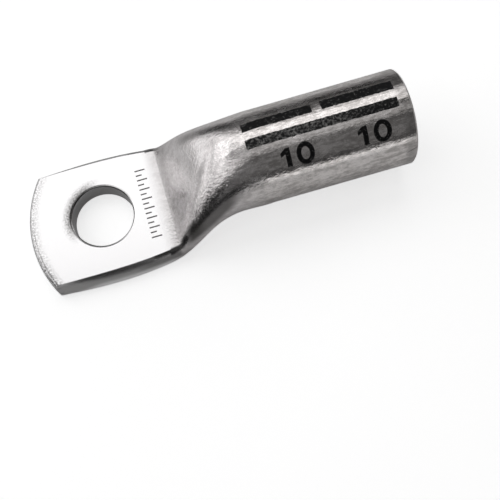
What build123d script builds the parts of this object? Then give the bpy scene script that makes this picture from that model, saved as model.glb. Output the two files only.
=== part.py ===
import os
from math import cos, pi, radians, sin, sqrt, tan

from build123d import *

# Crimp cable lug for 95 mm2 wire and an M12 stud, pressed from one length of tin-plated copper tube.
# Millimetres. The origin is the middle of the stud hole on the contact face, the palm's underside.
# +X runs along the barrel to its mouth, +Y across the palm, +Z up from the contact face.

# Tube
barrel_od = 19.0
bore_d = 13.5
mouth_x = 63.6
barrel_axis_z = 10.5
mouth_outer_edge = 0.35
mouth_inner_edge = 0.6

# Palm: the tube pressed flat, with its folded sides bulging out between the faces. The shear that
# cut the front, an arc a little off centre, dragged its upper edge down.
palm_t = 4.2
palm_top_half = 12.2
palm_half = 14.0
palm_foot_half = 13.2
fold_z = 1.0
shoulder_cut = 0.55
heel_crispness = 0.5
side_bow_r = 110.0
palm_front_x = -15.9
palm_front_r = 25.0
palm_front_y = -1.3
palm_corner_half = 13.3
palm_corner_r = 1.5
front_roll = 1.2

# Stud hole, punched from above
hole_d = 13.0
hole_roll = 0.4
hole_roll_ease = 0.15
hole_foot_edge = 0.2

# Neck: a ramp that rises from the crease on the palm and narrows to a point on the barrel's crest
lead_in_x = 11.6
lead_in_rise = 0.25
crease_x = 13.9
crease_half = 10.9
edge_turn_x = 4.0
ramp_angle = 50.8
crest_r = 17.0
ridge_end_x = 28.7
ridge_power = 1.3
waist_start_x = -2.5
waist_end_x = 28.5
waist_power = 1.9
heel_start_x = 17.0
heel_end_x = 26.6
fold_turn_x = 8.0
fold_end_x = 25.0
shoulder_turn_x = 10.7
shoulder_end_x = 13.4
shoulder_fullness = 0.45
shoulder_blend = 1.0
seam_angle = 6.0

# Closed end of the bore, where the tube's walls come together inside the neck
slit_wall = 2.1
slit_side = 4.0
slit_h = 1.0
bore_end_x = 33.5
bore_ledge = 0.1

# Stock left on the palm's faces before they are faced off, and how near an edge counts as found
facing = 0.5
edge_gap = 0.01

# How many spans each smooth length of the tube is drawn through
palm_spans = 3
lead_in_spans = 2
neck_spans = 5
pinch_spans = 3

barrel_r = barrel_od / 2
bore_r = bore_d / 2
wall = barrel_r - bore_r
crest_z = barrel_axis_z + barrel_r
heel_z = barrel_axis_z - barrel_r

# The ramp meets the crest line of the barrel at crest_x and is rounded into it by crest_r
ramp = radians(ramp_angle)
crease_z = palm_t + lead_in_rise
crest_x = crease_x + (crest_z - crease_z) / tan(ramp)
crest_tangent = crest_r * tan(ramp / 2)
crest_start_x = crest_x - crest_tangent * cos(ramp)
neck_end_x = crest_x + crest_tangent
slit_x = crease_x + (slit_h + slit_wall * (1 + 1 / cos(ramp)) - crease_z) / tan(ramp)

# A flat of the palm closes to a seam line on the round tube, seam_angle to each side of the middle
seam = radians(seam_angle)
seam_half = barrel_r * sin(seam)
seam_sag = 1 - cos(seam)
seam_crown = 1 / cos(seam) - cos(seam)
seam_drop = 1 - (1 - sin(seam)) / cos(seam) ** 2
side_weight = cos((pi / 2 - seam) / 2)


def mix(a, b, u):
    """The value u of the way from a to b."""
    return a + (b - a) * u


def ease(value, start, end):
    """Smooth step from 0 at start to 1 at end."""
    u = min(1.0, max(0.0, (value - start) / (end - start)))
    return u * u * (3 - 2 * u)


def top_z(x):
    """Height of the palm's face, its hollow lead-in, the ramp and the barrel's crest."""
    if x <= crease_x:
        lead = max(0.0, (x - lead_in_x) / (crease_x - lead_in_x))
        return palm_t + lead_in_rise * lead**2
    if x <= crest_start_x:
        return crease_z + (x - crease_x) * tan(ramp)
    if x <= neck_end_x:
        return crest_z - crest_r + sqrt(crest_r**2 - (neck_end_x - x) ** 2)
    return crest_z


def foot_z(x):
    """Height of the underside, which lifts from the contact face to the barrel's lowest line."""
    return heel_z * ease(x, heel_start_x, heel_end_x)


def half_width(x):
    """Widest half width: the palm's folded sides, bowed beside the hole, then the waist."""
    bow = min(x, 0.0) ** 2 / (2 * side_bow_r)
    return mix(palm_half - bow, barrel_r, ease(x, waist_start_x, waist_end_x) ** waist_power)


def top_half(x):
    """Half width of the flat on top: the palm's face, then the ramp, which narrows to a point."""
    if x <= crease_x:
        u = max(0.0, (x - edge_turn_x) / (crease_x - edge_turn_x))
        return mix(palm_top_half, crease_half, u**2)
    u = min(1.0, (x - crease_x) / (ridge_end_x - crease_x))
    return mix(seam_half, crease_half, (1 - u) ** ridge_power)


def foot_half(x):
    """Half width of the flat underneath, which closes towards the barrel."""
    return mix(palm_foot_half, seam_half, ease(x, waist_start_x, waist_end_x))


def line(x, start, end):
    """A straight edge in the section at x, between two (y, z) points."""
    return Edge.make_line((x, *start), (x, *end))


def conic(x, start, corner, end, weight):
    """A rounded edge in the section at x, drawn towards its corner; an arc where the weight suits."""
    points = [(x, y, z) for y, z in (start, corner, end)]
    return Edge.make_bezier(*points, weights=[1.0, weight, 1.0])


def section(x, proud=0.0):
    """Closed section of the tube at x: a flat above, a flat below and a rounded fold each side.

    Stock of the height proud is left on both flats where they are faced off afterwards.
    """
    rounding = ease(x, crease_x, neck_end_x)
    half = half_width(x)
    top = top_z(x)
    low = foot_z(x)
    middle = low + (top - low) * mix(fold_z / palm_t, 0.5, ease(x, fold_turn_x, fold_end_x))
    above = top - middle
    below = middle - low
    least = seam_half * half / barrel_r
    upper = max(top_half(x), least)
    lower = max(foot_half(x), least)
    edge_top = top - rounding * above * seam_sag
    edge_low = low + rounding * below * seam_sag
    shoulder = edge_top - above * mix(shoulder_cut, seam_drop, ease(x, shoulder_turn_x, shoulder_end_x))
    heel_out = mix(heel_crispness, 1.0, rounding)
    heel_y = mix((half + lower) / 2, half, heel_out)
    heel = mix((middle + edge_low) / 2, edge_low + below * seam_drop * rounding, heel_out)
    crown = edge_top + rounding * above * seam_crown
    sole = edge_low - rounding * below * seam_crown
    flat_weight = mix(1.0, cos(seam), rounding)
    full_x = crease_x + shoulder_blend
    full = ease(x, crease_x, full_x) * (1 - ease(x, full_x, neck_end_x))
    shoulder_weight = side_weight + shoulder_fullness * full

    if proud:
        above_edge = edge_top + proud
        below_edge = edge_low - proud
        upper_flat = [
            line(x, (-upper, edge_top), (-upper, above_edge)),
            line(x, (-upper, above_edge), (upper, above_edge)),
            line(x, (upper, above_edge), (upper, edge_top)),
        ]
        lower_flat = [
            line(x, (lower, edge_low), (lower, below_edge)),
            line(x, (lower, below_edge), (-lower, below_edge)),
            line(x, (-lower, below_edge), (-lower, edge_low)),
        ]
    else:
        upper_flat = [conic(x, (-upper, edge_top), (0, crown), (upper, edge_top), flat_weight)]
        lower_flat = [conic(x, (lower, edge_low), (0, sole), (-lower, edge_low), flat_weight)]
    right_fold = [
        conic(x, (upper, edge_top), (half, shoulder), (half, middle), shoulder_weight),
        conic(x, (half, middle), (heel_y, heel), (lower, edge_low), side_weight),
    ]
    left_fold = [
        conic(x, (-lower, edge_low), (-heel_y, heel), (-half, middle), side_weight),
        conic(x, (-half, middle), (-half, shoulder), (-upper, edge_top), shoulder_weight),
    ]
    return Face(Wire(upper_flat + right_fold + lower_flat + left_fold))


def stations(start, end, spans):
    """Evenly spaced places along the tube."""
    return [mix(start, end, i / spans) for i in range(spans + 1)]


def palm_blank():
    """What the palm is trimmed by: flat faces and the shear's arc, with the edge it drags down."""
    arc_x = palm_front_x + palm_front_r
    reach = palm_half + palm_t

    def corner(side):
        off = palm_corner_half * side - palm_front_y
        return arc_x - sqrt(palm_front_r**2 - off**2), palm_corner_half * side

    with BuildSketch() as plan:
        with BuildLine():
            ThreePointArc(corner(-1), (palm_front_x, palm_front_y), corner(1))
            Polyline(corner(1), (crease_x, reach), (crease_x, -reach), corner(-1))
        make_face()
        fillet([v for v in plan.vertices() if v.X < 0], palm_corner_r)
    blank = extrude(plan.sketch, palm_t)
    front = [e for e in blank.edges().group_by(Axis.Z)[-1] if e.center().X < -hole_d / 2]
    return fillet(front, front_roll)


def rims(solid, radius):
    """The circles of that radius round the stud hole's axis, the lowest one first."""
    found = []
    for edge in solid.edges():
        points = [edge @ u for u in (0.0, 0.3, 0.6)]
        if all(abs(sqrt(p.X**2 + p.Y**2) - radius) < edge_gap for p in points):
            found.append(edge)
    return sorted(found, key=lambda e: e.center().Z)


def outside():
    """The tube's outside: palm, neck and barrel in one piece."""
    start_x = palm_front_x - palm_t
    palm = loft([section(x, facing) for x in stations(start_x, lead_in_x, palm_spans)]) & palm_blank()
    lead_in = loft([section(x) for x in stations(lead_in_x, crease_x, lead_in_spans)])
    neck = loft([section(x) for x in stations(crease_x, neck_end_x, neck_spans)])
    tube_end = neck.faces().sort_by(Axis.X)[-1]
    barrel = extrude(tube_end, mouth_x - neck_end_x, dir=(1, 0, 0))
    return palm + lead_in + neck + barrel


def pinch_section(x):
    """Section of the space between the walls as they close from the round bore to a slit."""
    opened = ease(x, slit_x, bore_end_x)
    top = top_z(x) - mix(slit_wall / cos(ramp), wall + bore_ledge, opened)
    low = foot_z(x) + mix(slit_wall, wall + bore_ledge, opened)
    half = half_width(x) - mix(slit_side, wall + bore_ledge, opened)
    middle = (top + low) / 2
    points = [(half, middle), (0, low), (-half, middle), (0, top)]
    corners = [(half, low), (-half, low), (-half, top), (half, top)]
    edges = []
    for start, corner, end in zip(points, corners, points[1:] + points[:1]):
        chord = [(a + b) / 2 for a, b in zip(start, end)]
        pulled = tuple(mix(a, b, opened) for a, b in zip(chord, corner))
        edges.append(conic(x, start, pulled, end, cos(pi / 4)))
    return Face(Wire(edges))


def bore():
    """The round bore for the wire, open at the mouth."""
    length = mouth_x - bore_end_x + wall
    return Pos(bore_end_x + length / 2, 0, barrel_axis_z) * Rot(0, 90, 0) * Cylinder(bore_r, length)


def tube_lug():
    """The finished lug: bored tube with a pressed palm, a punched hole and broken edges."""
    pinch = loft([pinch_section(x) for x in stations(slit_x, bore_end_x + bore_ledge, pinch_spans)])
    lug = outside() - bore() - pinch
    lug = lug - Pos(0, 0, palm_t / 2) * Cylinder(hole_d / 2, 2 * palm_t)
    lug = chamfer(rims(lug, hole_d / 2)[-1], hole_roll)
    lug = chamfer(rims(lug, hole_d / 2)[-1], hole_roll_ease)
    lug = chamfer(rims(lug, hole_d / 2 + hole_roll)[-1], hole_roll_ease)
    lug = chamfer(rims(lug, hole_d / 2)[0], hole_foot_edge)
    mouth = lug.faces().sort_by(Axis.X)[-1]
    lug = chamfer(mouth.inner_wires()[0].edges(), mouth_inner_edge)
    mouth = lug.faces().sort_by(Axis.X)[-1]
    return chamfer(mouth.outer_wire().edges(), mouth_outer_edge)


lug = tube_lug()
print("solids", len(lug.solids()), "valid", lug.is_valid, "volume mm3", round(lug.volume, 1))
os.makedirs("parts", exist_ok=True)
export_step(lug, "parts/tube_lug.step")
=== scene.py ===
import math
import random

import bmesh
import bpy
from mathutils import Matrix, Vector
from mathutils.bvhtree import BVHTree


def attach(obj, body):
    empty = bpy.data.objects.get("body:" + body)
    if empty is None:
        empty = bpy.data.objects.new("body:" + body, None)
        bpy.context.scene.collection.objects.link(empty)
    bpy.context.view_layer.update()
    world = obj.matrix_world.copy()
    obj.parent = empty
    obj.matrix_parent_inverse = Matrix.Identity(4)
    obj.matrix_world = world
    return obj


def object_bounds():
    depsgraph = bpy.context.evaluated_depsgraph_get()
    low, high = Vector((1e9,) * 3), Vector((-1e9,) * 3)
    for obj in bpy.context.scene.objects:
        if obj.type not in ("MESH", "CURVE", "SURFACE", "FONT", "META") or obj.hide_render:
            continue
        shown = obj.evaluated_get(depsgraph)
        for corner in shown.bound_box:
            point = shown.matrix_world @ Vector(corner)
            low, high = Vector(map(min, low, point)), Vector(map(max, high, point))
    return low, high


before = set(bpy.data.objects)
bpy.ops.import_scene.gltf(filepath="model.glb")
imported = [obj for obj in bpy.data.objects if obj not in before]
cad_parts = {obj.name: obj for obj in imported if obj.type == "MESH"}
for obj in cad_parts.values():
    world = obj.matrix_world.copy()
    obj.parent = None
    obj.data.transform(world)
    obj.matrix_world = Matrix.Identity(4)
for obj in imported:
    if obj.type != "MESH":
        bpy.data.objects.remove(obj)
cad_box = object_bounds()


# The lug: one length of copper tube, pressed flat at one end into a palm with a stud hole.
# It was barrel-plated with matt tin after pressing, so it is silvery grey with a fine mottle,
# drawing lines along the tube, a coarser skin where the press stretched it, and small nicks.
MM = 0.001

# Sizes and places in millimetres, the places from the middle of the stud hole on the underside.
PALM_TOP = 4.2
PALM_HALF = 14.0
FRONT_X = -15.9
FRONT_Y = -1.3
FRONT_RADIUS = 25.0
HOLE_RADIUS = 6.5
CREASE_X = 13.9
CREASE_HALF = 10.9
MOUTH_X = 63.6

TIN_LIGHT = (0.86, 0.83, 0.83)
TIN_DULL = (0.67, 0.635, 0.635)
TIN_DRAWN_LIGHT = (0.95, 0.91, 0.895)
TIN_DRAWN_DULL = (0.53, 0.5, 0.485)
TIN_PRESSED = (0.95, 0.94, 0.945)
TIN_SHADE_AND_SCRATCH = (0.12, 0.115, 0.112)
TIN_ROUGHNESS = 0.26
RELIEF_HEIGHT = 0.09

# Each line of painted shade, the scratch and the tool ridge: a point on it and the unit direction in which
# it runs.
NEAR_FOLD_SHADE = ((21.1, -10.1, 10.15), (0.789, 0.093, 0.607))
FAR_FOLD_SHADE = ((20.8, 7.2, 12.8), (0.819, -0.253, 0.516))
FAR_BARREL_SHADE = ((30.0, 5.3, 18.4), (1.0, 0.0, 0.0))
MOUTH_SCRATCH = ((61.3, -9.08, 13.3), (0.91, 0.13, 0.39))
TOOL_RIDGE = ((17.8, -7.4, 9.2), (0.575, 0.579, 0.581))

# Each small knock: its middle, its size and its depth, as a share of the relief.
DENTS = (
    ((22.3, -6.15, 14.3), 0.6, 3.0),
    ((14.5, 10.0, 5.0), 0.9, 2.5),
    ((55.4, -7.5, 16.3), 0.5, 3.0),
    ((26.0, -6.3, 16.0), 0.4, 2.0),
    ((40.5, -2.2, 19.7), 0.5, 1.5),
    ((18.0, -8.2, 9.5), 0.5, 2.5),
)


def add_node(tree, kind, **settings):
    """A new node of that kind, with its settings."""
    made = tree.nodes.new(kind)
    for name, value in settings.items():
        setattr(made, name, value)
    return made


def math_node(tree, operation, first, second=0.0):
    """An operation on two values, each a number or the output of a node."""
    made = add_node(tree, "ShaderNodeMath", operation=operation)
    for socket, value in zip(made.inputs, (first, second)):
        if isinstance(value, (int, float)):
            socket.default_value = value
        else:
            tree.links.new(value, socket)
    return made.outputs["Value"]


def plus(tree, first, *others):
    """Two or more values added up."""
    for other in others:
        first = math_node(tree, "ADD", first, other)
    return first


def times(tree, first, *others):
    """Two or more values multiplied."""
    for other in others:
        first = math_node(tree, "MULTIPLY", first, other)
    return first


def blend(tree, *parts):
    """The sum of several values, each times its share."""
    return plus(tree, *[times(tree, value, share) for value, share in parts])


def ramp_node(tree, value, low, high, at_low=0.0, at_high=1.0):
    """A soft step from one level to another while the value goes from low to high."""
    made = add_node(tree, "ShaderNodeMapRange", interpolation_type="SMOOTHSTEP")
    made.inputs["From Min"].default_value = low
    made.inputs["From Max"].default_value = high
    made.inputs["To Min"].default_value = at_low
    made.inputs["To Max"].default_value = at_high
    tree.links.new(value, made.inputs["Value"])
    return made.outputs["Result"]


def ramp_mm(tree, value, low, high, at_low=0.0, at_high=1.0):
    """A soft step between two places in millimetres."""
    return ramp_node(tree, value, low * MM, high * MM, at_low, at_high)


def fade_mm(tree, value, low, high):
    """A soft step down from 1 to 0 between two places in millimetres."""
    return ramp_mm(tree, value, low, high, 1.0, 0.0)


def noise_node(tree, place, scale, detail, rough=0.5):
    """Smooth noise with that many grains to the metre."""
    made = add_node(tree, "ShaderNodeTexNoise")
    made.inputs["Scale"].default_value = scale
    made.inputs["Detail"].default_value = detail
    made.inputs["Roughness"].default_value = rough
    tree.links.new(place, made.inputs["Vector"])
    return made.outputs["Fac"]


def scaled(tree, place, scale):
    """Each place with its coordinates scaled; less than 1 draws a pattern out along that axis."""
    made = add_node(tree, "ShaderNodeMapping")
    made.inputs["Scale"].default_value = scale
    tree.links.new(place, made.inputs["Vector"])
    return made.outputs["Vector"]


def axes_of(tree, place):
    """The X, Y and Z of each place."""
    made = add_node(tree, "ShaderNodeSeparateXYZ")
    tree.links.new(place, made.inputs["Vector"])
    return made.outputs["X"], made.outputs["Y"], made.outputs["Z"]


def tint_node(tree, factor, first, second):
    """A colour between two others, each a colour or the output of a node."""
    made = add_node(tree, "ShaderNodeMix", data_type="RGBA")
    for name, value in (("A", first), ("B", second)):
        if isinstance(value, tuple):
            made.inputs[name].default_value = (*value, 1)
        else:
            tree.links.new(value, made.inputs[name])
    tree.links.new(factor, made.inputs["Factor"])
    return made.outputs["Result"]


def vector_node(tree, operation, place, other=None):
    """An operation on each place, with a constant vector where the operation takes one."""
    made = add_node(tree, "ShaderNodeVectorMath", operation=operation)
    tree.links.new(place, made.inputs[0])
    if other is not None:
        made.inputs[1].default_value = other
    return made


def distance_from(tree, place, point):
    """How far each place is from a point given in millimetres."""
    return vector_node(tree, "DISTANCE", place, [c * MM for c in point]).outputs["Value"]


def distance_from_line(tree, place, point, along):
    """How far each place is from the straight line through a point given in millimetres."""
    offset = vector_node(tree, "SUBTRACT", place, [c * MM for c in point]).outputs["Vector"]
    across = vector_node(tree, "CROSS_PRODUCT", offset, along).outputs["Vector"]
    return vector_node(tree, "LENGTH", across).outputs["Value"]


def tin_skin_group():
    """The plated skin: its tone, with mottle and drawing lines along X, its blotches and its height."""
    tree = bpy.data.node_groups.new("tin skin", "ShaderNodeTree")
    tree.interface.new_socket("Place", in_out="INPUT", socket_type="NodeSocketVector")
    for name in ("Tone", "Blotch", "Height"):
        tree.interface.new_socket(name, in_out="OUTPUT", socket_type="NodeSocketFloat")
    place = add_node(tree, "NodeGroupInput").outputs["Place"]
    blotch = noise_node(tree, scaled(tree, place, (0.6, 1.0, 1.0)), 320.0, 3.0, 0.55)
    mottle = noise_node(tree, scaled(tree, place, (0.55, 1.0, 1.0)), 1300.0, 3.0, 0.6)
    pimples = noise_node(tree, scaled(tree, place, (0.7, 1.0, 1.0)), 2300.0, 2.0, 0.5)
    grain = noise_node(tree, place, 4200.0, 2.0, 0.6)
    lines = noise_node(tree, scaled(tree, place, (0.07, 1.0, 1.0)), 2600.0, 3.0, 0.6)
    tone = blend(tree, (mottle, 0.4), (blotch, 0.25), (lines, 0.2), (grain, 0.15))
    height = blend(tree, (mottle, 0.22), (lines, 0.15), (pimples, 0.55), (grain, 0.15))
    out = add_node(tree, "NodeGroupOutput")
    for name, value in (("Tone", tone), ("Blotch", blotch), ("Height", height)):
        tree.links.new(value, out.inputs[name])
    return tree


def crease_shade(tree, x):
    """Painted shade: darker on the palm beside the crease, with a sharp step at it, fading out up the
    ramp.
    """
    strip = ramp_mm(tree, x, CREASE_X - 3.7, CREASE_X - 0.2, at_high=0.22)
    step = ramp_mm(tree, x, CREASE_X - 0.2, CREASE_X + 0.1, at_high=0.2)
    return times(tree, plus(tree, strip, step), fade_mm(tree, x, CREASE_X + 0.1, CREASE_X + 3.6))


def front_edge_shade(tree, flat_spot, x, y, speckle):
    """Painted shade, speckled, round the sheared front edge where its top rolls over, most so at its near
    corner.
    """
    from_arc_middle = distance_from(tree, flat_spot, (FRONT_X + FRONT_RADIUS, FRONT_Y, 0.0))
    edge = ramp_mm(tree, from_arc_middle, FRONT_RADIUS - 3.0, FRONT_RADIUS - 0.4, at_high=0.55)
    only_front = fade_mm(tree, x, -9.0, -8.0)
    near_corner = ramp_mm(tree, y, -9.0, -3.0, at_low=1.7)
    return times(tree, edge, only_front, near_corner, ramp_node(tree, speckle, 0.35, 0.65))


def folded_side_shade(tree, x, from_middle, z):
    """Painted shade on the upper half of the palm's folded sides and on the waist beside the crease.

    The band reaches lower at the front, and its top follows the sides up from the palm.
    """
    palm = ramp_mm(tree, from_middle, PALM_HALF - 2.0, PALM_HALF - 1.4)
    waist = times(tree, ramp_mm(tree, from_middle, CREASE_HALF - 0.1, CREASE_HALF + 0.5),
                  ramp_mm(tree, x, 7.0, 9.0), fade_mm(tree, x, CREASE_X - 0.5, CREASE_X + 1.1))
    below = plus(tree, z, ramp_mm(tree, x, -10.0, -3.0, at_low=0.8 * MM, at_high=0.0))
    rise = ramp_mm(tree, x, 11.6, 14.5, at_high=0.9 * MM)
    above = math_node(tree, "SUBTRACT", z, rise)
    return times(tree, math_node(tree, "MAXIMUM", waist, palm), ramp_mm(tree, below, 1.4, 2.6),
                 fade_mm(tree, above, PALM_TOP - 0.03, PALM_TOP - 0.01),
                 ramp_mm(tree, x, 2.0, 8.0, at_low=0.62, at_high=0.84))


def side_foot_shade(tree, from_middle, z):
    """A narrow line of painted shade where the folded sides turn under to the flat underside."""
    outer = ramp_mm(tree, from_middle, PALM_HALF - 2.4, PALM_HALF - 1.8)
    return times(tree, outer, ramp_mm(tree, z, 0.3, 1.1, at_low=0.38, at_high=0.0))


def hole_rim_shade(tree, spot, from_hole_axis, z, speckle):
    """Painted shade, speckled, on the palm's top at one side of the stud hole, where the rim rolls down
    into it.
    """
    ragged = plus(tree, from_hole_axis, times(tree, speckle, 2.6 * MM))
    drag = ramp_mm(tree, ragged, HOLE_RADIUS + 1.3, HOLE_RADIUS + 3.8, at_low=0.95, at_high=0.0)
    far_front = vector_node(tree, "DOT_PRODUCT", spot, (-0.85, 0.53, 0.0)).outputs["Value"]
    return times(tree, drag, ramp_mm(tree, far_front, 2.5, 6.5),
                 ramp_mm(tree, z, PALM_TOP - 0.6, PALM_TOP - 0.3),
                 fade_mm(tree, z, PALM_TOP + 0.2, PALM_TOP + 0.4))


def streak(tree, spot, x, line, reach, strength, start, end=None):
    """A soft streak along a line, at full strength within one distance and gone beyond the other.

    It comes in between the two places of start along X, and goes out between the two of end.
    """
    away = distance_from_line(tree, spot, *line)
    mask = times(tree, ramp_mm(tree, away, *reach, strength, 0.0), ramp_mm(tree, x, *start))
    if end:
        mask = times(tree, mask, fade_mm(tree, x, *end))
    return mask


def knock(tree, spot, centre, size, roughness):
    """How deep a small knock is at each place: 1 in its middle, 0 outside."""
    ragged = plus(tree, distance_from(tree, spot, centre), times(tree, roughness, size * MM))
    return fade_mm(tree, ragged, 0.4 * size, 1.2 * size)


tinned = bpy.data.materials.new("tinned copper")
tinned.use_nodes = True
tin = tinned.node_tree
tin_shader = tin.nodes["Principled BSDF"]
spot = add_node(tin, "ShaderNodeTexCoord").outputs["Object"]
x, y, z = axes_of(tin, spot)
skin = add_node(tin, "ShaderNodeGroup", node_tree=tin_skin_group())
tin.links.new(spot, skin.inputs["Place"])

# The palm's faces were pressed smooth; from the crease on the skin is coarser, and coarsest on
# the near half of the neck, where the press stretched the tube.
coarse = ramp_mm(tin, x, CREASE_X - 3.4, CREASE_X + 1.1)
stretched = times(tin, fade_mm(tin, y, -7.5, -1.0), fade_mm(tin, x, 26.0, 34.0))
tone = ramp_node(tin, skin.outputs["Tone"], 0.40, 0.60)
colour = tint_node(tin, tone, TIN_DULL, TIN_LIGHT)
drawn = tint_node(tin, tone, TIN_DRAWN_DULL, TIN_DRAWN_LIGHT)
colour = tint_node(tin, ramp_mm(tin, x, 25.0, 35.0), colour, drawn)
colour = tint_node(tin, coarse, TIN_PRESSED, colour)

# Painted shade darkens the crease, the front edge, the folded sides and their foot, one side of the hole's
# rim, the hole wall, the mouth end, the folds and a line along the barrel; a real scratch near the mouth
# is darkened too.
flat_spot = scaled(tin, spot, (1.0, 1.0, 0.0))
from_hole_axis = vector_node(tin, "LENGTH", flat_spot).outputs["Value"]
from_middle = math_node(tin, "ABSOLUTE", y)
speckle = noise_node(tin, spot, 2600.0, 3.0, 0.7)
# Painted shade on the wall of the stud hole.
hole_wall_shade = ramp_mm(tin, from_hole_axis, HOLE_RADIUS + 0.1, HOLE_RADIUS + 0.4, at_low=0.62, at_high=0.0)
# Painted shade over the last few millimetres of the barrel before its mouth.
mouth_end_shade = ramp_mm(tin, x, MOUTH_X - 3.4, MOUTH_X - 1.4, at_high=0.35)
# Painted shade along the near fold of the neck.
near_fold_shade = plus(tin, streak(tin, spot, x, NEAR_FOLD_SHADE, (0.8, 2.6), 0.86, (13.2, 17.2), (25.0, 31.0)),
                 streak(tin, spot, x, NEAR_FOLD_SHADE, (0.7, 1.9), 0.14, (15.4, 17.0), (18.0, 20.8)))
shade_and_scratch = crease_shade(tin, x)
for shade_and_scratch_place in (
    front_edge_shade(tin, flat_spot, x, y, speckle),
    folded_side_shade(tin, x, from_middle, z),
    side_foot_shade(tin, from_middle, z),
    hole_rim_shade(tin, spot, from_hole_axis, z, speckle),
    hole_wall_shade,
    mouth_end_shade,
    near_fold_shade,
    # Painted shade along the far fold of the neck.
    streak(tin, spot, x, FAR_FOLD_SHADE, (0.3, 1.6), 0.5, (17.5, 21.0), (28.5, 32.0)),
    # Painted shade in a line along the far upper side of the barrel.
    streak(tin, spot, x, FAR_BARREL_SHADE, (0.3, 1.3), 0.5, (27.0, 33.0)),
    streak(tin, spot, x, MOUTH_SCRATCH, (0.05, 0.16), 0.8, (60.8, 61.6)),
):
    shade_and_scratch = math_node(tin, "MAXIMUM", shade_and_scratch, shade_and_scratch_place)
tin.links.new(tint_node(tin, shade_and_scratch, colour, TIN_SHADE_AND_SCRATCH), tin_shader.inputs["Base Color"])
tin_shader.inputs["Metallic"].default_value = 1.0
blotchy = ramp_node(tin, skin.outputs["Blotch"], 0.3, 0.7, at_low=-0.1, at_high=0.0)
tin.links.new(plus(tin, times(tin, coarse, blotchy), TIN_ROUGHNESS), tin_shader.inputs["Roughness"])

# The relief of the skin, smooth in the near fold and finer along the barrel. The edge of the
# pressing tool left a low ridge up the ramp, from its near corner to the crest.
strength = plus(tin, times(tin, coarse, 0.95), 0.05)
strength = plus(tin, strength, times(tin, coarse, stretched, 0.6))
strength = times(tin, strength, ramp_mm(tin, x, 30.0, 38.0, at_low=1.0, at_high=0.58))
relief = times(tin, math_node(tin, "SUBTRACT", skin.outputs["Height"], 0.5), strength)
relief = times(tin, relief, math_node(tin, "SUBTRACT", 1.0, times(tin, near_fold_shade, 1.2)))
ridge = streak(tin, spot, x, TOOL_RIDGE, (0.0, 2.2), 1.8, (14.5, 17.5), (24.0, 29.0))
relief = plus(tin, relief, times(tin, ridge, ramp_mm(tin, z, 5.0, 8.0)))
knock_roughness = noise_node(tin, spot, 2500.0, 1.0)
for centre, size, depth in DENTS:
    dent = times(tin, knock(tin, spot, centre, size, knock_roughness), depth)
    relief = math_node(tin, "SUBTRACT", relief, dent)
bump = add_node(tin, "ShaderNodeBump")
bump.inputs["Strength"].default_value = 1.0
bump.inputs["Distance"].default_value = RELIEF_HEIGHT * MM
tin.links.new(relief, bump.inputs["Height"])
tin.links.new(bump.outputs["Normal"], tin_shader.inputs["Normal"])

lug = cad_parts["tube_lug"]
for material_slot in lug.material_slots:
    material_slot.material = tinned


# The printed crimp guides: two short bars and one long bar of black ink rolled on the barrel,
# and a plain number under each short bar. The ink film is about a hundredth of a millimetre
# thick, its edges are ragged, and it is scuffed from handling.
BARREL_RADIUS = 9.5
BARREL_AXIS = 10.5
INK_FILM = 0.012
INK_BLACK = (0.006, 0.006, 0.0065)
INK_RUBBED = (0.45, 0.44, 0.43)
SLICE_ALONG = 0.3
SLICE_ROUND = 0.25
RAGGED_STEP = 0.4
RAGGED_EDGE = 0.07

# Each bar: its name, where it starts and ends along X, and the angles of its two long edges.
# Angles are in degrees round the barrel, from its top down towards -Y.
BARS = (
    ("bar_long", 31.3, 61.1, 1.7, 13.4),
    ("bar_rear", 31.4, 45.2, -21.0, -9.2),
    ("bar_front", 47.1, 61.2, -22.2, -9.2),
)

# Each number: its name and its middle along X. The 1 is given by its corners and the 0 by the
# half axes of its outer and inner oval, both as (along, down) from the number's middle.
NUMBERS = (("number_rear", 40.2), ("number_front", 55.3))
NUMBER_ANGLE = 35
ONE_ALONG = -1.7
ONE = (
    (-0.48, 1.85), (-0.48, -0.75), (-1.4, -0.3), (-1.4, -1.1), (-0.3, -1.85), (0.48, -1.85), (0.48, 1.85),
)
ZERO_ALONG = 1.65
ZERO_OUTER = (1.75, 2.15)
ZERO_INNER = (0.83, 1.25)
OVAL_POINTS = 40

ink = bpy.data.materials.new("black ink")
ink.use_nodes = True
print_tree = ink.node_tree
print_shader = print_tree.nodes["Principled BSDF"]
print_spot = add_node(print_tree, "ShaderNodeTexCoord").outputs["Object"]
print_x, print_y = axes_of(print_tree, print_spot)[:2]
scuff = noise_node(print_tree, print_spot, 1900.0, 4.0, 0.65)
# The long bar lies highest on the barrel, so it is rubbed the most.
long_bar = times(print_tree, ramp_mm(print_tree, print_x, 44.0, 58.0, at_low=0.13, at_high=0.06),
                 ramp_mm(print_tree, print_y, -2.6, -2.3), fade_mm(print_tree, print_y, 0.0, 0.3))
rubbed = ramp_node(print_tree, plus(print_tree, scuff, long_bar), 0.53, 0.92)
ink_colour = tint_node(print_tree, rubbed, INK_BLACK, INK_RUBBED)
print_tree.links.new(ink_colour, print_shader.inputs["Base Color"])
print_tree.links.new(rubbed, print_shader.inputs["Metallic"])
ink_roughness = ramp_node(print_tree, scuff, 0.3, 0.7, at_low=0.4, at_high=0.65)
print_tree.links.new(ink_roughness, print_shader.inputs["Roughness"])
print_shader.inputs["Specular IOR Level"].default_value = 0.18

lug_skin = BVHTree.FromPolygons([v.co for v in lug.data.vertices], [p.vertices for p in lug.data.polygons])


def flat_print(outlines):
    """Flat faces from outlines in millimetres; a pair of outlines makes a ring between the two."""
    flat = bmesh.new()
    for outline in outlines:
        if isinstance(outline, tuple):
            outer, inner = [[flat.verts.new((x * MM, y * MM, 0)) for x, y in ring] for ring in outline]
            for i in range(len(outer)):
                j = (i + 1) % len(outer)
                flat.faces.new((outer[i], outer[j], inner[j], inner[i]))
        else:
            flat.faces.new([flat.verts.new((x * MM, y * MM, 0)) for x, y in outline])
    bmesh.ops.recalc_face_normals(flat, faces=flat.faces)
    return flat


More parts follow.
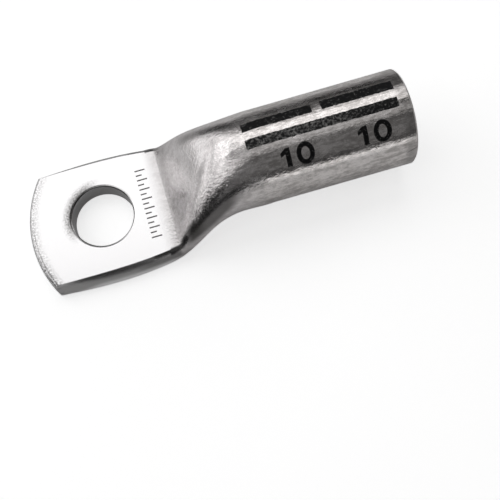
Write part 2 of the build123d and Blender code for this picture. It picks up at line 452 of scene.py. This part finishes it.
def slice_up(flat):
    """Cut the flat faces into small ones, so that they can follow the barrel."""
    for axis, step in ((0, SLICE_ALONG * MM), (1, SLICE_ROUND * MM)):
        reach = [v.co[axis] for v in flat.verts]
        cut = Vector((0, 0, 0))
        across = Vector((axis == 0, axis == 1, 0))
        for i in range(1, int((max(reach) - min(reach)) / step) + 1):
            cut[axis] = min(reach) + i * step
            everything = flat.verts[:] + flat.edges[:] + flat.faces[:]
            bmesh.ops.bisect_plane(flat, geom=everything, plane_co=cut, plane_no=across)
    bmesh.ops.triangulate(flat, faces=flat.faces[:])


def raise_faces(flat, top):
    """Extrude all faces and set the new ones at that height."""
    raised = bmesh.ops.extrude_face_region(flat, geom=flat.faces[:])
    for v in [g for g in raised["geom"] if isinstance(g, bmesh.types.BMVert)]:
        v.co.z = top


def wrap_print(name, outlines, centre_x, centre_angle):
    """Ink shapes given flat as (along, down), laid on the barrel and kept below its highest line."""
    film = flat_print(outlines)
    slice_up(film)
    raise_faces(film, 1.0)
    bmesh.ops.recalc_face_normals(film, faces=film.faces)
    radius = BARREL_RADIUS * MM
    for v in film.verts:
        angle = centre_angle + v.co.y / radius
        outward = Vector((0, -math.sin(angle), math.cos(angle)))
        middle = Vector((centre_x + v.co.x, 0, BARREL_AXIS * MM))
        metal = lug_skin.ray_cast(middle + outward * 2 * radius, -outward)[0]
        v.co = metal + outward * (INK_FILM if v.co.z > 0.5 else -INK_FILM) * MM
        v.co.z = min(v.co.z, cad_box[1][2])
    bmesh.ops.recalc_face_normals(film, faces=film.faces)
    mesh = bpy.data.meshes.new(name)
    film.to_mesh(mesh)
    film.free()
    mesh.materials.append(ink)
    piece = bpy.data.objects.new(name, mesh)
    bpy.context.scene.collection.objects.link(piece)
    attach(piece, "root")


def ragged_bar(length, width, seed):
    """The outline of a bar with slightly uneven edges."""
    rnd = random.Random(seed)
    steps = int(length / RAGGED_STEP)
    xs = [-length / 2 + length * i / steps for i in range(steps + 1)]
    top = [(x, -width / 2 + rnd.uniform(-RAGGED_EDGE, RAGGED_EDGE)) for x in xs]
    low = [(x, width / 2 + rnd.uniform(-RAGGED_EDGE, RAGGED_EDGE)) for x in reversed(xs)]
    return top + low


def oval(half_x, half_y, middle):
    """The outline of an oval."""
    turns = [2 * math.pi * i / OVAL_POINTS for i in range(OVAL_POINTS)]
    return [(middle + half_x * math.cos(turn), half_y * math.sin(turn)) for turn in turns]


for seed, (name, start, end, low_angle, high_angle) in enumerate(BARS):
    width = math.radians(high_angle - low_angle) * BARREL_RADIUS
    wrap_print(name, [ragged_bar(end - start, width, seed)], (start + end) / 2 * MM,
               math.radians((low_angle + high_angle) / 2))

for name, centre_x in NUMBERS:
    one = [(x + ONE_ALONG, y) for x, y in ONE]
    zero = (oval(*ZERO_OUTER, ZERO_ALONG), oval(*ZERO_INNER, ZERO_ALONG))
    wrap_print(name, [one, zero], centre_x * MM, math.radians(NUMBER_ANGLE))


# The struck row across the palm beside the crease: plain strokes punched into the metal like
# the ticks of a rule, a generic mark. Each narrow groove is drawn as a thin dark line of painted
# shade that stands a hair above the palm.
TICKS = 15
TICK_PITCH = 1.1
TICK_WIDTH = 0.3
FIRST_TICK_Y = -7.8
TICK_START_X = 8.8
LONG_TICK_END_X = 11.0
SHORT_TICK_END_X = 10.1
TICK_SUNK = 0.02
TICK_PROUD = 0.012

groove_shade = bpy.data.materials.new("stamped groove shade")
groove_shade.use_nodes = True
groove_shader = groove_shade.node_tree.nodes["Principled BSDF"]
groove_shader.inputs["Base Color"].default_value = (0.2, 0.19, 0.19, 1)
groove_shader.inputs["Metallic"].default_value = 0.6
groove_shader.inputs["Roughness"].default_value = 0.5

ticks = bmesh.new()
for i in range(TICKS):
    near_y = FIRST_TICK_Y + TICK_PITCH * i - TICK_WIDTH / 2
    far_y = near_y + TICK_WIDTH
    end_x = SHORT_TICK_END_X if i % 2 else LONG_TICK_END_X
    corners = ((TICK_START_X, near_y), (end_x, near_y), (end_x, far_y), (TICK_START_X, far_y))
    ticks.faces.new([ticks.verts.new((x * MM, y * MM, (PALM_TOP - TICK_SUNK) * MM)) for x, y in corners])
raise_faces(ticks, (PALM_TOP + TICK_PROUD) * MM)
bmesh.ops.recalc_face_normals(ticks, faces=ticks.faces)
mesh = bpy.data.meshes.new("stamped_row")
ticks.to_mesh(mesh)
ticks.free()
mesh.materials.append(groove_shade)
stamped_row = bpy.data.objects.new("stamped_row", mesh)
bpy.context.scene.collection.objects.link(stamped_row)
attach(stamped_row, "root")


# The sheet it lies on: matt white paper, far wider than the camera sees, with sizes in metres.
# It glows to the camera, more so farther out, so that it runs into the white room, and faintly
# in the metal.
SHEET_HALF = 3
SHEET_WHITE = (0.8, 0.8, 0.8)
GLOW_NEAR = 0.68
GLOW_FAR = 1.0
GLOW_RISES = (0.2, 0.8)
GLOW_IN_METAL = 0.09

white = bpy.data.materials.new("white sheet")
white.use_nodes = True
paper = white.node_tree
paper_shader = paper.nodes["Principled BSDF"]
paper_shader.inputs["Base Color"].default_value = (*SHEET_WHITE, 1)
paper_shader.inputs["Roughness"].default_value = 0.9
paper_shader.inputs["Specular IOR Level"].default_value = 0.0
paper_shader.inputs["Emission Color"].default_value = (1, 1, 1, 1)
paper_rays = add_node(paper, "ShaderNodeLightPath")
paper_spot = add_node(paper, "ShaderNodeTexCoord").outputs["Object"]
from_lug = vector_node(paper, "LENGTH", paper_spot).outputs["Value"]
glow = ramp_node(paper, from_lug, *GLOW_RISES, at_low=GLOW_NEAR, at_high=GLOW_FAR)
seen = times(paper, paper_rays.outputs["Is Camera Ray"], glow)
mirrored = times(paper, paper_rays.outputs["Is Glossy Ray"], GLOW_IN_METAL)
paper.links.new(plus(paper, seen, mirrored), paper_shader.inputs["Emission Strength"])

sheet_corners = [(a * SHEET_HALF, b * SHEET_HALF, 0) for a, b in ((-1, -1), (1, -1), (1, 1), (-1, 1))]
sheet = bpy.data.meshes.new("table")
sheet.from_pydata(sheet_corners, [], [(0, 1, 2, 3)])
sheet.materials.append(white)
table = bpy.data.objects.new("table", sheet)
bpy.context.scene.collection.objects.link(table)


# The light: thirteen soft boxes round the lug, bright ones behind it and at both its ends, a
# narrow strip low in front, and dim wide ones for the walls. The room itself is white to the
# camera and gives almost no light.
BOX_AIM = (0.024, 0, 0.01)
BOX_DISTANCE = 0.7
ENERGY_FOR_AREA = 4
ROOM_SEEN = 0.98
ROOM_LIGHT = 0.02

# Each box: its name, its azimuth (0 is +X, 90 is +Y) and height in degrees as seen from the
# lug, its width and height in metres, and its brightness.
SOFT_BOXES = (
    ("back box", 90, 63, (0.7, 0.34), 0.93),
    ("back box skirt", 90, 45, (0.7, 0.12), 0.6),
    ("back wall", 90, 25, (0.7, 0.3), 0.08),
    ("overhead", 270, 84, (0.7, 0.26), 0.35),
    ("left box", 150, 22, (0.75, 0.55), 0.45),
    ("left box foot", 155, 8, (0.5, 0.2), 0.42),
    ("left box top", 148, 40, (0.32, 0.22), 0.75),
    ("left corner", 125, 30, (0.35, 0.3), 0.38),
    ("left wall", 185, 42, (0.3, 0.35), 0.55),
    ("left ceiling", 200, 55, (0.3, 0.2), 0.5),
    ("front strip", 285, 4, (0.32, 0.09), 1.0),
    ("front wall", 270, 45, (0.8, 0.6), 0.09),
    ("right box", 30, 14, (0.4, 0.3), 1.2),
)

world = bpy.data.worlds.new("room")
bpy.context.scene.world = world
world.use_nodes = True
room = world.node_tree
background = room.nodes["Background"]
background.inputs["Color"].default_value = (1, 1, 1, 1)
room_rays = add_node(room, "ShaderNodeLightPath")
room_seen = times(room, room_rays.outputs["Is Camera Ray"], ROOM_SEEN)
room.links.new(plus(room, room_seen, ROOM_LIGHT), background.inputs["Strength"])

for name, azimuth, height, (box_width, box_height), brightness in SOFT_BOXES:
    lamp = bpy.data.lights.new(name, "AREA")
    lamp.shape = "RECTANGLE"
    lamp.size = box_width
    lamp.size_y = box_height
    lamp.energy = brightness * ENERGY_FOR_AREA * box_width * box_height
    box = bpy.data.objects.new(name, lamp)
    turn = math.radians(azimuth)
    lift = math.radians(height)
    away = Vector((math.cos(turn) * math.cos(lift), math.sin(turn) * math.cos(lift), math.sin(lift)))
    box.location = Vector(BOX_AIM) + away * BOX_DISTANCE
    box.rotation_euler = away.to_track_quat("Z", "Y").to_euler()
    bpy.context.scene.collection.objects.link(box)


# The camera stands above and in front of the lug, close to it, framed as the photograph is.
# Its place is in millimetres and its turns about X, Y and Z are in degrees.
CAMERA_PLACE = (17.778, -66.355, 151.399)
CAMERA_TURNS = (14.8501, 4.7479, -15.2217)
CAMERA_LENS = 55.073
CAMERA_SENSOR = 36
CAMERA_SHIFT = (0.0816, 0.1135)

lens = bpy.data.cameras.new("camera")
lens.sensor_width = CAMERA_SENSOR
lens.lens = CAMERA_LENS
lens.shift_x, lens.shift_y = CAMERA_SHIFT
lens.clip_start = 0.01
camera = bpy.data.objects.new("camera", lens)
camera.location = [c * MM for c in CAMERA_PLACE]
camera.rotation_euler = [math.radians(turn) for turn in CAMERA_TURNS]
bpy.context.scene.collection.objects.link(camera)
bpy.context.scene.camera = camera
bpy.context.scene.view_settings.view_transform = "Standard"
